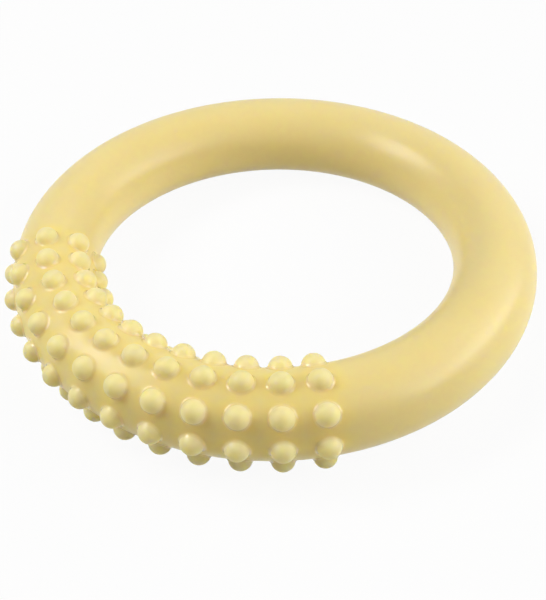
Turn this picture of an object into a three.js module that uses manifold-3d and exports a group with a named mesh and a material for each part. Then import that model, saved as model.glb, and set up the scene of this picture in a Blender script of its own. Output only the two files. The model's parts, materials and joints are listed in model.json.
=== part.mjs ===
// Dental chew ring for dogs: a plain round ring of soft rubber whose front is set with domed nubs.
// Millimetres and degrees. +Z is the ring's axis, the origin is the ring's centre, the nubs face -Y.

import * as THREE from 'three';
import { mergeVertices } from 'three/addons/utils/BufferGeometryUtils.js';
import Module from 'manifold-3d';

// Driving dimensions
const OUTER_DIAMETER = 150; // across the plain part of the ring
const TUBE_DIAMETER = 23.4; // thickness of the ring
const NUB_DIAMETER = 6.4;
const NUB_HEIGHT = 2.95; // from the ring's skin to the crown of the dome
const NUB_COLUMNS = 12; // counted along the ring
const NUB_COLUMN_PITCH = 8.68; // degrees about the ring's axis
const NUB_ROWS = 8; // evenly spaced round the ring's section
const NUB_ROW_TURN = -4; // degrees from the ring's equator to the outermost row
const NUB_ROOT = 1; // how deep the foot of a nub is set in the ring
const NUB_FLARE = 0.5; // how much wider the foot of a nub is than its dome, on the radius
const END_LAND = 0.8; // plain rubber between the last nubs and the end of the nubbed arc
const NUBS_FACE = -90; // the middle of the nubbed arc, in degrees about the ring's axis

// Fineness of the facets
const TUBE_SIDES = 24;
const TUBE_STEP = 5; // degrees of ring between two sections
const NUB_SIDES = 10;
const DOME_BANDS = 3;

// Sizes worked out from the driving dimensions
const tubeRadius = TUBE_DIAMETER / 2;
const ringRadius = OUTER_DIAMETER / 2 - tubeRadius;
const holeRadius = ringRadius - tubeRadius;
const nubRadius = NUB_DIAMETER / 2;
const footRadius = nubRadius + NUB_FLARE;
const degrees = THREE.MathUtils.degToRad;
const nubFieldSweep = (NUB_COLUMNS - 1) * degrees(NUB_COLUMN_PITCH);
const nubbedSweep = nubFieldSweep + 2 * (footRadius + END_LAND) / holeRadius;
const nubbedStart = degrees(NUBS_FACE) - nubbedSweep / 2;
const smoothStart = degrees(NUBS_FACE) + nubbedSweep / 2;
const smoothSweep = 2 * Math.PI - nubbedSweep;

const wasm = await Module();
wasm.setup();

// The centre line of a stretch of ring, with its true tangent, so that both ends are cut square.
class RingArc extends THREE.Curve {
  constructor(start, sweep) {
    super();
    this.start = start;
    this.sweep = sweep;
  }

  getPoint(t, target = new THREE.Vector3()) {
    const angle = this.start + t * this.sweep;
    return target.set(ringRadius * Math.cos(angle), ringRadius * Math.sin(angle), 0);
  }

  getTangent(t, target = new THREE.Vector3()) {
    const angle = this.start + t * this.sweep;
    return target.set(-Math.sin(angle), Math.cos(angle), 0);
  }
}

// The ring's round section, drawn round the true circle, with a flat at the top and the bottom.
function tubeSection() {
  const halfSide = Math.PI / TUBE_SIDES;
  const reach = tubeRadius / Math.cos(halfSide);
  const corners = [];
  for (let side = 0; side < TUBE_SIDES; side++) {
    const angle = (2 * side + 1) * halfSide;
    corners.push(new THREE.Vector2(reach * Math.cos(angle), reach * Math.sin(angle)));
  }
  return new THREE.Shape(corners);
}

// A stretch of plain ring with flat ends.
function tubeArc(start, sweep) {
  return new THREE.ExtrudeGeometry(tubeSection(), {
    steps: Math.ceil(sweep / degrees(TUBE_STEP)),
    extrudePath: new RingArc(start, sweep),
  });
}

// One nub standing on the origin along +Y: a flared foot set below the skin and a domed crown above it.
function nubShape() {
  const skinFall = tubeRadius - Math.sqrt(tubeRadius ** 2 - footRadius ** 2);
  const foot = -(skinFall + NUB_ROOT);
  const profile = [new THREE.Vector2(0, foot), new THREE.Vector2(footRadius, foot)];
  for (let band = 1; band < DOME_BANDS; band++) {
    const rise = (band / DOME_BANDS) * (Math.PI / 2);
    profile.push(new THREE.Vector2(nubRadius * Math.cos(rise), NUB_HEIGHT * Math.sin(rise)));
  }
  profile.push(new THREE.Vector2(0, NUB_HEIGHT));
  return joined(new THREE.LatheGeometry(profile, NUB_SIDES));
}

// The angles of the rows round the section.
function rowAngles() {
  const angles = [];
  for (let row = 0; row < NUB_ROWS; row++) {
    angles.push(degrees(NUB_ROW_TURN) + (row / NUB_ROWS) * 2 * Math.PI);
  }
  return angles;
}

// The angles of the columns about the ring's axis.
function columnAngles() {
  const angles = [];
  for (let column = 0; column < NUB_COLUMNS; column++) {
    angles.push(degrees(NUBS_FACE) + (column - (NUB_COLUMNS - 1) / 2) * degrees(NUB_COLUMN_PITCH));
  }
  return angles;
}

// A copy of the nub, turned round the section to its row and about the ring's axis to its column.
function placedNub(nub, row, column) {
  return nub
    .clone()
    .rotateZ(-Math.PI / 2)
    .translate(tubeRadius, 0, 0)
    .rotateY(-row)
    .translate(ringRadius, 0, 0)
    .rotateZ(column);
}

// A geometry with only its positions left and its shared corners merged.
function joined(geometry) {
  geometry.deleteAttribute('normal');
  geometry.deleteAttribute('uv');
  return mergeVertices(geometry);
}

function solidFrom(geometry) {
  return new wasm.Manifold(new wasm.Mesh({
    numProp: 3,
    vertProperties: geometry.getAttribute('position').array,
    triVerts: new Uint32Array(geometry.index.array),
  }));
}

function geometryFrom(solid) {
  const mesh = solid.getMesh();
  const geometry = new THREE.BufferGeometry();
  geometry.setAttribute('position', new THREE.BufferAttribute(mesh.vertProperties, 3));
  geometry.setIndex(new THREE.BufferAttribute(mesh.triVerts, 1));
  geometry.computeVertexNormals();
  return geometry;
}

// The plain stretch of ring that is held by hand or thrown.
function smoothGripArc() {
  const mesh = new THREE.Mesh(
    tubeArc(smoothStart, smoothSweep),
    new THREE.MeshStandardMaterial({ color: 0xebd795, roughness: 0.42, metalness: 0 }),
  );
  mesh.name = 'smooth_grip_arc';
  return mesh;
}

// The stretch that is chewed, with its nubs moulded in one with it.
function nubbedChewArc() {
  const nub = nubShape();
  let solid = solidFrom(joined(tubeArc(nubbedStart, nubbedSweep)));
  for (const column of columnAngles()) {
    for (const row of rowAngles()) {
      solid = solid.add(solidFrom(placedNub(nub, row, column)));
    }
  }
  const mesh = new THREE.Mesh(
    geometryFrom(solid),
    new THREE.MeshStandardMaterial({ color: 0xe9dc93, roughness: 0.42, metalness: 0 }),
  );
  mesh.name = 'nubbed_chew_arc';
  return mesh;
}

const chewRing = new THREE.Group();
chewRing.add(smoothGripArc(), nubbedChewArc());

export default chewRing;
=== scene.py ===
"""A dental chew ring for dogs: one solid moulding of soft rubber, with a plain round stretch to hold and
a stretch set all round with domed nubs that clean the teeth. The file is laid out as an add-on. Run as a
script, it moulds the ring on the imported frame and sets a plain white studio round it."""

import json
import math

import bmesh
import bpy
from mathutils import Matrix, Vector


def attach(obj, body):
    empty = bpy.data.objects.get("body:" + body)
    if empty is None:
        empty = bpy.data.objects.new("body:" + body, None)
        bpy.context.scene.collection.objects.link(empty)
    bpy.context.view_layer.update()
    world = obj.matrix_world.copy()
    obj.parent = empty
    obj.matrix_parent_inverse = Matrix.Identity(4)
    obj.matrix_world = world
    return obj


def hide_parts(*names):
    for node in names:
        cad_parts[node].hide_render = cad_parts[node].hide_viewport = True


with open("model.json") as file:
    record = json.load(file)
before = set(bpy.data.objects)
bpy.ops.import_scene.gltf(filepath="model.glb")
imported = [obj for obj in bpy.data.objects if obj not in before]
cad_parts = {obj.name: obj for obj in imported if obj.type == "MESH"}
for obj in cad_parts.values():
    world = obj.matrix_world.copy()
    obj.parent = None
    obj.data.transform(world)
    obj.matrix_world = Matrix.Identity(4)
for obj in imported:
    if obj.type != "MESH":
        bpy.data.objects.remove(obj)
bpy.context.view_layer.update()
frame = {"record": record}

bl_info = {
    "name": "Dental Chew Ring",
    "version": (1, 0, 0),
    "blender": (4, 5, 0),
    "location": "3D View > Sidebar > Chew Ring",
    "description": "Moulds a rubber chew ring with its nubs and sets a plain white studio round it",
    "category": "Add Mesh",
}

MM = 0.001
BODY = "root"
PLAIN_NODE = "smooth_grip_arc"
NUBBED_NODE = "nubbed_chew_arc"

# The ring's sizes, read from the frame: where it rests opposite the nubs, and how wide its hole is
mounts = {mount["name"]: mount for mount in frame["record"]["mounts"]}
underside = Vector(mounts["rest_underside"]["pos_m"])
RING_RADIUS = underside.y
TUBE_RADIUS = -underside.z
NUB_HEIGHT = RING_RADIUS - TUBE_RADIUS - mounts["ring_hole"]["dims"]["r_mm"] * MM

# Fineness of the mesh, and the distance within which corners are welded
CELL_SIDE_STEPS = 10
SKIRT_STEPS = 3
FILLET_STEPS = 4
DOME_STEPS = 9
PLAIN_STEP = math.radians(2)
WELD = 0.001 * MM

# How far from a nub's foot the painted shade of the hollows, a deeper and warmer colour, reaches
HOLLOW_SHADE_REACH = 3.4 * MM

# The rubber's patterns: clouds of colour, patches that are more or less satin, and the grain left by the
# blasted mould, which is about 0.1 mm wide and is drawn five times as coarse to show at all
CLOUD_WIDTH = 30 * MM
PATCH_WIDTH = 9 * MM
GRAIN_WIDTH = 0.5 * MM
GRAIN_DEPTH = 0.01 * MM

# The range in which noise mostly lies, the roughness of the smoothest and the roughest patch, what a dome
# adds to it and what a nub's polished foot takes off, and how much gloss lies over that foot
NOISE_LOW = 0.3
NOISE_HIGH = 0.7
SMOOTHEST = 0.28
ROUGHEST = 0.34
DOME_MATTING = 0.1
FOOT_POLISH = 0.2
FOOT_GLOSS = 0.5

# The camera's sensor, in millimetres
SENSOR_WIDTH = 36

# The studio's paper, half its side in metres, and the share of its white that no shadow darkens
PAPER_REACH = 3.0
PAPER_GLOW = 0.94

# How far the lamps stand from the ring, in metres, and for each lamp its name, its azimuth and elevation
# in degrees, its width and height in metres, and its watts
LAMP_DISTANCE = 0.9
SOFTBOXES = (
    ("right_softbox", 120, 27, 0.9, 0.3, 3.4),
    ("right_screen", 122, 36, 1.2, 0.8, 5.1),
    ("left_softbox", -50, 41, 0.45, 0.28, 3.6),
    ("left_strip", -68, 53, 0.35, 0.25, 2.8),
    ("front_screen", 38, 42, 0.8, 0.8, 0.2),
)


class ChewRingShape(bpy.types.PropertyGroup):
    """Sizes of the moulded ring and of its nubs"""

    ring_radius: bpy.props.FloatProperty(
        name="Ring Radius",
        description="From the ring's axis to the middle of its round section",
        default=RING_RADIUS,
        unit="LENGTH",
    )
    tube_radius: bpy.props.FloatProperty(
        name="Section Radius",
        description="Half the thickness of the ring",
        default=TUBE_RADIUS,
        unit="LENGTH",
    )
    nub_diameter: bpy.props.FloatProperty(
        name="Nub Diameter",
        description="Across the dome of one nub",
        default=6.4 * MM,
        unit="LENGTH",
    )
    nub_height: bpy.props.FloatProperty(
        name="Nub Height",
        description="From the ring's skin to the crown of a nub",
        default=NUB_HEIGHT,
        unit="LENGTH",
    )
    nub_fillet: bpy.props.FloatProperty(
        name="Nub Fillet",
        description="Radius of the hollow round the foot of a nub",
        default=0.9 * MM,
        unit="LENGTH",
    )
    nub_columns: bpy.props.IntProperty(
        name="Nub Columns",
        description="Columns of nubs along the ring",
        default=12,
    )
    column_pitch: bpy.props.FloatProperty(
        name="Column Pitch",
        description="Angle from one column of nubs to the next, about the ring's axis",
        default=math.radians(8.68),
        unit="ROTATION",
    )
    nub_rows: bpy.props.IntProperty(
        name="Nub Rows",
        description="Rows of nubs, evenly spaced round the ring's section",
        default=8,
    )
    row_turn: bpy.props.FloatProperty(
        name="Row Turn",
        description="Angle round the section from the ring's equator to the outermost row",
        default=math.radians(-4),
        unit="ROTATION",
    )
    nubs_face: bpy.props.FloatProperty(
        name="Nubs Face",
        description="Angle of the middle of the nubbed stretch about the ring's axis",
        default=math.radians(-90),
        unit="ROTATION",
    )


class ChewRingFinish(bpy.types.PropertyGroup):
    """Colours and gloss of the rubber"""

    skin_colour: bpy.props.StringProperty(
        name="Skin Colour",
        description="Colour of the plain rubber, as an sRGB hex value",
        default="EDDB99",
    )
    shade_colour: bpy.props.StringProperty(
        name="Shade Colour",
        description="Colour of the slightly deeper clouds in the rubber, as an sRGB hex value",
        default="E9D48B",
    )
    # Painted shade: the deeper, warmer colour that the hollows round the nubs' feet take in place of their
    # shade
    hollow_shade_colour: bpy.props.StringProperty(
        name="Hollow Colour",
        description="Colour of the hollows round the nubs' feet, the deepest, as an sRGB hex value",
        default="EFDB88",
    )
    nub_colour: bpy.props.StringProperty(
        name="Nub Colour",
        description="Colour of the nubs, a little more lemon than the skin, as an sRGB hex value",
        default="ECDCA2",
    )
    glow_depth: bpy.props.FloatProperty(
        name="Glow Depth",
        description="How far light travels under the rubber's skin",
        default=6.0 * MM,
        unit="LENGTH",
    )


class ChewRingStudio(bpy.types.PropertyGroup):
    """Where the camera stands and how bright the room is"""

    camera_azimuth: bpy.props.FloatProperty(
        name="Camera Azimuth",
        description="Turn of the camera about the ring, from -Y towards +X",
        default=math.radians(38.27),
        unit="ROTATION",
    )
    camera_elevation: bpy.props.FloatProperty(
        name="Camera Elevation",
        description="Height of the camera above the ring's plane",
        default=math.radians(39.09),
        unit="ROTATION",
    )
    camera_distance: bpy.props.FloatProperty(
        name="Camera Distance",
        description="From the ring's centre to the camera",
        default=345.5 * MM,
        unit="LENGTH",
    )
    camera_roll: bpy.props.FloatProperty(
        name="Camera Roll",
        description="Turn of the camera about its own line of sight",
        default=math.radians(-1.39),
        unit="ROTATION",
    )
    camera_aim: bpy.props.FloatVectorProperty(
        name="Camera Aim",
        description="Point in the ring's plane at the middle of the picture",
        default=(11.75 * MM, -16.08 * MM, 0),
        subtype="TRANSLATION",
    )
    lens: bpy.props.FloatProperty(
        name="Lens",
        description="Focal length on a sensor 36 mm wide",
        default=71.25,
        unit="CAMERA",
    )
    room_light: bpy.props.FloatProperty(
        name="Room Light",
        description="Strength of the soft light that comes from all round",
        default=0.02,
    )


def linear(hex_colour):
    """A linear RGBA colour from an sRGB hex value such as F0DC98."""
    channels = [int(hex_colour[i:i + 2], 16) / 255 for i in (0, 2, 4)]
    return (*[c / 12.92 if c <= 0.04045 else ((c + 0.055) / 1.055) ** 2.4 for c in channels], 1)


def add_node(tree, kind, settings=None, inputs=None):
    """Adds a node, sets its properties, and gives its inputs their values or links."""
    node = tree.nodes.new(kind)
    for name, value in (settings or {}).items():
        setattr(node, name, value)
    for name, value in (inputs or {}).items():
        if isinstance(value, bpy.types.NodeSocket):
            tree.links.new(value, node.inputs[name])
        else:
            node.inputs[name].default_value = value
    return node


def new_material(name):
    """An empty node material, and its tree."""
    material = bpy.data.materials.new(name)
    material.use_nodes = True
    material.node_tree.nodes.clear()
    return material, material.node_tree


def stance(shape, turn, tilt):
    """The place on the ring's skin at these angles: X along the ring, Y round its section, Z outwards."""
    outward_first = Matrix(((0, 0, 1, 0), (1, 0, 0, 0), (0, 1, 0, 0), (0, 0, 0, 1)))
    return (
        Matrix.Rotation(turn, 4, "Z")
        @ Matrix.Translation((shape.ring_radius, 0, 0))
        @ Matrix.Rotation(-tilt, 4, "Y")
        @ Matrix.Translation((shape.tube_radius, 0, 0))
        @ outward_first
    )


def nearest_skin(shape, point):
    """The nearest point of the plain ring's skin, and the direction straight out of it."""
    middle = Vector((point.x, point.y, 0)).normalized() * shape.ring_radius
    outward = (point - middle).normalized()
    return middle + outward * shape.tube_radius, outward


def turn_on_square(across, along):
    """The turn about a square's middle at which a point of its rim goes on to a circle."""
    if abs(across) >= abs(along):
        return math.pi / 4 * along / across + (math.pi if across < 0 else 0)
    return math.pi / 2 - math.pi / 4 * across / along + (math.pi if along < 0 else 0)


def nub_rings(shape):
    """The rings of one nub from its foot upwards: distance from its axis, and height over the skin."""
    dome = shape.nub_diameter / 2
    depth = dome - shape.nub_height
    fillet = shape.nub_fillet
    foot = math.sqrt((dome + fillet) ** 2 - (fillet + depth) ** 2)
    meeting = math.atan2(fillet + depth, foot)
    arc = math.pi / 2 - meeting
    rings = []
    for step in range(FILLET_STEPS):
        angle = -math.pi / 2 - arc * step / FILLET_STEPS
        rings.append((foot + fillet * math.cos(angle), fillet + fillet * math.sin(angle)))
    for step in range(DOME_STEPS):
        angle = meeting + arc * step / DOME_STEPS
        rings.append((dome * math.cos(angle), dome * math.sin(angle) - depth))
    return rings


def on_nub(shape, place, radius, height, turn):
    """A point of a nub. Near its foot the nub follows the skin's fall, and its crown keeps its own shape."""
    point = place @ Vector((radius * math.cos(turn), radius * math.sin(turn), height))
    skin, outward = nearest_skin(shape, point)
    follow = (1 - height / shape.nub_height) ** 2
    return point.lerp(skin + outward * height, follow)


def hollow_shade(place, point, foot):
    """How much painted shade a point of the skin takes, by how near it lies to a nub's foot: 1 at the foot, 0
    out of reach.
    """
    reach = (point - place.translation).length - foot
    return 1 - min(1, max(0, reach) / HOLLOW_SHADE_REACH) ** 2


def grow_nub(bm, shape, face, place, turns, layers):
    """Draws a nub out of its cell, ring by ring: a skirt of plain skin, the fillet, then the dome. It also
    marks how far up the fillet each corner lies, how much painted shade of the hollows it takes, and how
    polished it is."""
    rings = nub_rings(shape)
    rim = [vert.co.copy() for vert in face.verts]
    foot = [on_nub(shape, place, *rings[0], turn) for turn in turns]
    # Painted shade of the hollows, strongest at the nub's foot and fading over the skirt
    for vert in face.verts:
        vert[layers["hollow_shade"]] = hollow_shade(place, vert.co, rings[0][0])
    for step in range(1, SKIRT_STEPS):
        face = bmesh.ops.extrude_discrete_faces(bm, faces=[face])["faces"][0]
        for vert, outer, inner in zip(face.verts, rim, foot):
            vert.co = nearest_skin(shape, outer.lerp(inner, step / SKIRT_STEPS))[0]
            vert[layers["hollow_shade"]] = hollow_shade(place, vert.co, rings[0][0])
    for number, (radius, height) in enumerate(rings):
        up_fillet = min(1, number / FILLET_STEPS)
        face = bmesh.ops.extrude_discrete_faces(bm, faces=[face])["faces"][0]
        for vert, turn in zip(face.verts, turns):
            vert.co = on_nub(shape, place, radius, height, turn)
            vert[layers["nub"]] = up_fillet
            vert[layers["hollow_shade"]] = 1
            vert[layers["polish"]] = min(1, 2 * math.sin(math.pi * up_fillet))
    crown = bmesh.ops.poke(bm, faces=[face])["verts"][0]
    crown.co = place @ Vector((0, 0, shape.nub_height))
    crown[layers["nub"]] = 1


def nub_column(bm, shape):
    """One column of nubs, all round the section: a flat strip with a cell for each nub is wrapped on the
    skin, and a nub is drawn out of each cell."""
    rows = shape.nub_rows
    row_pitch = 2 * math.pi / rows
    for name in ("nub", "polish", "hollow_shade"):
        bm.verts.layers.float.new(name)
    layers = bm.verts.layers.float
    first_turn = shape.nubs_face - shape.nub_columns / 2 * shape.column_pitch
    strip = bmesh.ops.create_grid(bm, x_segments=1, y_segments=rows, size=0.5)["verts"]
    for vert in strip:
        turn = first_turn + (vert.co.x + 0.5) * shape.column_pitch
        tilt = shape.row_turn + (vert.co.y * rows + 0.5) * row_pitch
        vert.co = Vector((turn, tilt, 0))
    bmesh.ops.subdivide_edges(bm, edges=bm.edges[:], cuts=CELL_SIDE_STEPS - 1)
    cells = []
    for face in bm.faces:
        low = Vector(map(min, zip(*[vert.co for vert in face.verts])))
        high = Vector(map(max, zip(*[vert.co for vert in face.verts])))
        middle = (low + high) / 2
        half = (high - low) / 2
        reaches = [vert.co - middle for vert in face.verts]
        turns = [turn_on_square(reach.x / half.x, reach.y / half.y) for reach in reaches]
        cells.append((face, stance(shape, middle.x, middle.y), turns))
    for vert in bm.verts:
        vert.co = stance(shape, vert.co.x, vert.co.y).translation
    for face, place, turns in cells:
        grow_nub(bm, shape, face, place, turns, layers)
    bmesh.ops.remove_doubles(bm, verts=bm.verts[:], dist=WELD)


def ring_skin(shape):
    """The whole closed skin: the column of nubs repeated, and its end section spun round the rest."""
    bm = bmesh.new()
    nub_column(bm, shape)
    about_axis = {"cent": (0, 0, 0), "axis": (0, 0, 1), "dvec": (0, 0, 0)}
    bmesh.ops.spin(
        bm,
        geom=[*bm.verts, *bm.edges, *bm.faces],
        angle=(shape.nub_columns - 1) * shape.column_pitch,
        steps=shape.nub_columns - 1,
        use_duplicate=True,
        **about_axis,
    )
    bmesh.ops.remove_doubles(bm, verts=bm.verts[:], dist=WELD)
    half_field = shape.nub_columns / 2 * shape.column_pitch
    end = Matrix.Rotation(shape.nubs_face + half_field, 3, "Z") @ Vector((1, 0, 0))
    across = Vector((-end.y, end.x, 0))
    last = [
        edge for edge in bm.edges
        if edge.is_boundary and all(v.co.dot(end) > 0 and abs(v.co.dot(across)) < WELD for v in edge.verts)
    ]
    last_verts = dict.fromkeys(vert for edge in last for vert in edge.verts)
    plain_sweep = 2 * (math.pi - half_field)
    bmesh.ops.spin(
        bm,
        geom=[*last_verts, *last],
        angle=plain_sweep,
        steps=math.ceil(plain_sweep / PLAIN_STEP),
        **about_axis,
    )
    bmesh.ops.remove_doubles(bm, verts=bm.verts[:], dist=WELD)
    # The spins copy the painted shade of the hollows round the last column's rim, so it is faded out past the
    # nubs
    hollows = bm.verts.layers.float["hollow_shade"]
    for vert in bm.verts:
        turn = math.remainder(math.atan2(vert.co.y, vert.co.x) - shape.nubs_face, 2 * math.pi)
        beyond = max(0, abs(turn) - half_field) * shape.ring_radius
        vert[hollows] *= max(0, 1 - beyond / HOLLOW_SHADE_REACH) ** 2
    bmesh.ops.recalc_face_normals(bm, faces=bm.faces[:])
    if any(not edge.is_manifold for edge in bm.edges):
        raise RuntimeError("the ring's skin isn't closed")
    return bm


def rubber(finish):
    """Thermoplastic rubber, injection moulded in a blasted mould: a pale satin skin with a soft broad gloss,
    under which light travels far, so that shade is soft and warm. The hollows round the nubs' feet also carry
    painted shade, a deeper and warmer colour. The domes are a little rougher, and the narrow fillet at a
    nub's foot, where blasting doesn't reach, shines in thin arcs."""
    material, tree = new_material("Satin Moulded Rubber")
    place = add_node(tree, "ShaderNodeTexCoord").outputs["Object"]
    clouds = add_node(tree, "ShaderNodeTexNoise", inputs={
        "Vector": place, "Scale": 1 / CLOUD_WIDTH, "Detail": 2.0, "Roughness": 0.5,
    })
    skin = add_node(tree, "ShaderNodeMix", {"data_type": "RGBA"}, {
        "Factor": clouds.outputs["Fac"], 6: linear(finish.skin_colour), 7: linear(finish.shade_colour),
    })
    # Painted shade: the skin round the nubs' feet is mixed towards a deeper, warmer colour
    hollows = add_node(tree, "ShaderNodeAttribute", {"attribute_name": "hollow_shade"})
    deeper = add_node(tree, "ShaderNodeMix", {"data_type": "RGBA"}, {
        "Factor": hollows.outputs["Fac"], 6: skin.outputs[2], 7: linear(finish.hollow_shade_colour),
    })
    nub = add_node(tree, "ShaderNodeAttribute", {"attribute_name": "nub"})
    colour = add_node(tree, "ShaderNodeMix", {"data_type": "RGBA"}, {
        "Factor": nub.outputs["Fac"], 6: deeper.outputs[2], 7: linear(finish.nub_colour),
    })
    patches = add_node(tree, "ShaderNodeTexNoise", inputs={
        "Vector": place, "Scale": 1 / PATCH_WIDTH, "Detail": 3.0, "Roughness": 0.6,
    })
    satin = add_node(tree, "ShaderNodeMapRange", inputs={
        "Value": patches.outputs["Fac"], "From Min": NOISE_LOW, "From Max": NOISE_HIGH,
        "To Min": SMOOTHEST, "To Max": ROUGHEST,
    })
    blasted = add_node(tree, "ShaderNodeMath", {"operation": "MULTIPLY_ADD"}, {
        0: nub.outputs["Fac"], 1: DOME_MATTING, 2: satin.outputs["Result"],
    })
    polish = add_node(tree, "ShaderNodeAttribute", {"attribute_name": "polish"})
    roughness = add_node(tree, "ShaderNodeMath", {"operation": "MULTIPLY_ADD"}, {
        0: polish.outputs["Fac"], 1: -FOOT_POLISH, 2: blasted.outputs[0],
    })
    gloss = add_node(tree, "ShaderNodeMath", {"operation": "MULTIPLY"}, {
        0: polish.outputs["Fac"], 1: FOOT_GLOSS,
    })
    grain = add_node(tree, "ShaderNodeTexNoise", inputs={
        "Vector": place, "Scale": 1 / GRAIN_WIDTH, "Detail": 2.0, "Roughness": 0.5,
    })
    bump = add_node(tree, "ShaderNodeBump", inputs={
        "Height": grain.outputs["Fac"], "Strength": 0.12, "Distance": GRAIN_DEPTH,
    })
    # An index near 1.5 and a roughness of 0.3 are typical of such rubber, and were then matched to the ring.
    # Red light travels deepest under the skin and blue light least
    surface = add_node(tree, "ShaderNodeBsdfPrincipled", inputs={
        "Base Color": colour.outputs[2],
        "Roughness": roughness.outputs[0],
        "IOR": 1.47,
        "Specular IOR Level": 0.33,
        "Coat Weight": gloss.outputs[0],
        "Coat Roughness": 0.08,
        "Coat IOR": 1.5,
        "Subsurface Weight": 1.0,
        "Subsurface Radius": (1.0, 0.85, 0.15),
        "Subsurface Scale": finish.glow_depth,
        "Normal": bump.outputs["Normal"],
    })
    add_node(tree, "ShaderNodeOutputMaterial", inputs={"Surface": surface.outputs["BSDF"]})
    return material


def white_for_the_eye(tree, seen, lit):
    """Shows one shader to the camera and in reflections, and the other to all other light."""
    path = add_node(tree, "ShaderNodeLightPath").outputs
    either = add_node(tree, "ShaderNodeMath", {"operation": "MAXIMUM"}, {
        0: path["Is Camera Ray"], 1: path["Is Glossy Ray"],
    })
    any_of = add_node(tree, "ShaderNodeMath", {"operation": "MAXIMUM"}, {
        0: either.outputs[0], 1: path["Is Transmission Ray"],
    })
    return add_node(tree, "ShaderNodeMixShader", inputs={0: any_of.outputs[0], 1: lit, 2: seen})


def studio_paper():
    """Seamless white paper, matt: pure white in the picture, with only a faint share of the ring's shadow."""
    material, tree = new_material("White Studio Paper")
    matt = add_node(tree, "ShaderNodeBsdfDiffuse", inputs={"Color": linear("DCDCDA")}).outputs[0]
    glow = add_node(tree, "ShaderNodeEmission", inputs={"Color": linear("FFFFFF"), "Strength": 1.0})
    seen = add_node(tree, "ShaderNodeMixShader", inputs={0: PAPER_GLOW, 1: matt, 2: glow.outputs[0]})
    paper = white_for_the_eye(tree, seen.outputs[0], matt)
    add_node(tree, "ShaderNodeOutputMaterial", inputs={"Surface": paper.outputs[0]})
    return material


def white_room(studio):
    """The world: a soft even light on the ring, and to the eye as pale as the paper is far from the lamps, so
    that no edge shows where the paper ends."""
    world = bpy.data.worlds.new("White Room")
    world.use_nodes = True
    tree = world.node_tree
    tree.nodes.clear()
    seen = add_node(tree, "ShaderNodeBackground", inputs={"Color": linear("F8F8F8"), "Strength": 1.0})
    lit = add_node(tree, "ShaderNodeBackground", inputs={
        "Color": linear("FFFFFF"), "Strength": studio.room_light,
    })
    room = white_for_the_eye(tree, seen.outputs[0], lit.outputs[0])
    add_node(tree, "ShaderNodeOutputWorld", inputs={"Surface": room.outputs[0]})
    return world


def direction(azimuth, elevation):
    """A unit vector with this turn from -Y towards +X and this height above the ring's plane."""
    level = math.cos(elevation)
    return Vector((math.sin(azimuth) * level, -math.cos(azimuth) * level, math.sin(elevation)))


def softbox(name, azimuth, elevation, width, height, watts):
    """A soft lamp a little over an arm's length from the ring, turned to its centre."""
    lamp = bpy.data.lights.new(name, "AREA")
    lamp.shape = "RECTANGLE"
    lamp.size = width
    lamp.size_y = height
    lamp.energy = watts
    towards = direction(math.radians(azimuth), math.radians(elevation))
    holder = bpy.data.objects.new(name, lamp)
    holder.location = towards * LAMP_DISTANCE
    holder.rotation_euler = (-towards).to_track_quat("-Z", "Y").to_euler()
    bpy.context.collection.objects.link(holder)


class ChewRingCamera(bpy.types.Operator):
    """Sets up the camera that looks down on the ring from the front right"""

    bl_idname = "chew_ring.add_camera"
    bl_label = "Add Camera"

    def execute(self, context):
        studio = context.scene.chew_ring_studio
        camera = bpy.data.cameras.new("Camera")
        camera.lens = studio.lens
        camera.sensor_width = SENSOR_WIDTH
        holder = bpy.data.objects.new("Camera", camera)
        holder.location = direction(studio.camera_azimuth, studio.camera_elevation) * studio.camera_distance
        sight = Vector(studio.camera_aim) - holder.location
        turn = sight.to_track_quat("-Z", "Y").to_matrix().to_4x4()
        turn = turn @ Matrix.Rotation(studio.camera_roll, 4, "Z")
        holder.rotation_euler = turn.to_euler()
        context.collection.objects.link(holder)
        context.scene.camera = holder
        return {"FINISHED"}


class ChewRingMould(bpy.types.Operator):
    """Moulds the ring and its nubs in one closed skin of satin rubber"""

    bl_idname = "chew_ring.mould"
    bl_label = "Mould Ring"

    def execute(self, context):
        scene = context.scene
        bm = ring_skin(scene.chew_ring_shape)
        mesh = bpy.data.meshes.new("rubber_ring")
        bm.to_mesh(mesh)
        bm.free()
        mesh.shade_smooth()
        mesh.materials.append(rubber(scene.chew_ring_finish))
        ring = bpy.data.objects.new("rubber_ring", mesh)
        context.collection.objects.link(ring)
        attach(ring, BODY)
        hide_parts(PLAIN_NODE, NUBBED_NODE)
        return {"FINISHED"}


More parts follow.
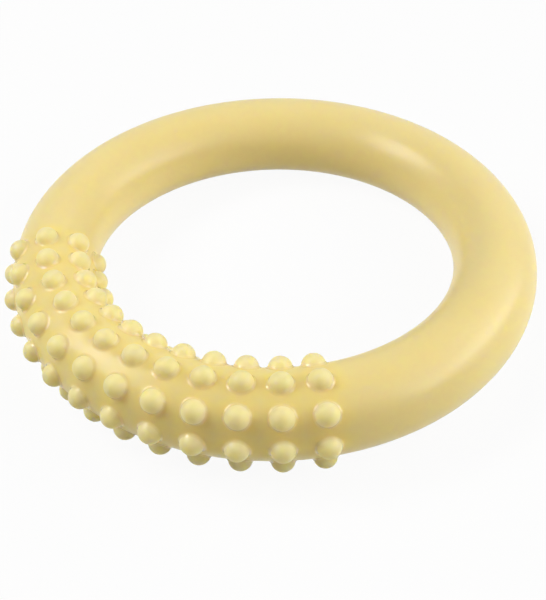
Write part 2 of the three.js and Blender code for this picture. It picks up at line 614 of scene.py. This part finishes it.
class ChewRingStage(bpy.types.Operator):
    """Lays the ring on white paper in a white room, with soft lamps to its right, to its left and in front"""

    bl_idname = "chew_ring.stage"
    bl_label = "Set Stage"

    def execute(self, context):
        scene = context.scene
        shape = scene.chew_ring_shape
        lowest = min((vert.co for vert in bpy.data.objects["rubber_ring"].data.vertices), key=lambda co: co.z)
        run = shape.ring_radius - lowest.y
        lean = math.atan2(-shape.tube_radius - lowest.z, run)
        bm = bmesh.new()
        lay = Matrix.Translation((0, lowest.y, lowest.z)) @ Matrix.Rotation(lean, 4, "X")
        bmesh.ops.create_grid(bm, x_segments=1, y_segments=1, size=PAPER_REACH, matrix=lay)
        mesh = bpy.data.meshes.new("paper")
        bm.to_mesh(mesh)
        bm.free()
        mesh.materials.append(studio_paper())
        paper = bpy.data.objects.new("paper", mesh)
        context.collection.objects.link(paper)
        for lamp in SOFTBOXES:
            softbox(*lamp)
        scene.world = white_room(scene.chew_ring_studio)
        scene.view_settings.view_transform = "Standard"
        return {"FINISHED"}


class ChewRingPanel(bpy.types.Panel):
    """The ring's sizes, finish and studio in the sidebar"""

    bl_idname = "VIEW3D_PT_chew_ring"
    bl_label = "Dental Chew Ring"
    bl_space_type = "VIEW_3D"
    bl_region_type = "UI"
    bl_category = "Chew Ring"

    def draw(self, context):
        for operator in OPERATORS:
            self.layout.operator(operator.bl_idname)
        for group in GROUPS:
            box = self.layout.box()
            for name in GROUPS[group].__annotations__:
                box.prop(getattr(context.scene, group), name)


OPERATORS = (ChewRingCamera, ChewRingMould, ChewRingStage)
GROUPS = {
    "chew_ring_shape": ChewRingShape,
    "chew_ring_finish": ChewRingFinish,
    "chew_ring_studio": ChewRingStudio,
}


def register():
    """Adds the classes, and hangs the settings on the scene."""
    for kind in (*GROUPS.values(), *OPERATORS, ChewRingPanel):
        bpy.utils.register_class(kind)
    for name, kind in GROUPS.items():
        setattr(bpy.types.Scene, name, bpy.props.PointerProperty(type=kind))


def unregister():
    """Takes off again what register added."""
    for name in GROUPS:
        delattr(bpy.types.Scene, name)
    for kind in (ChewRingPanel, *reversed(OPERATORS), *reversed(GROUPS.values())):
        bpy.utils.unregister_class(kind)


def main():
    """Makes the camera, the ring and the stage."""
    register()
    bpy.ops.chew_ring.add_camera()
    bpy.ops.chew_ring.mould()
    bpy.ops.chew_ring.stage()
    bpy.context.view_layer.update()


if __name__ == "__main__":
    main()
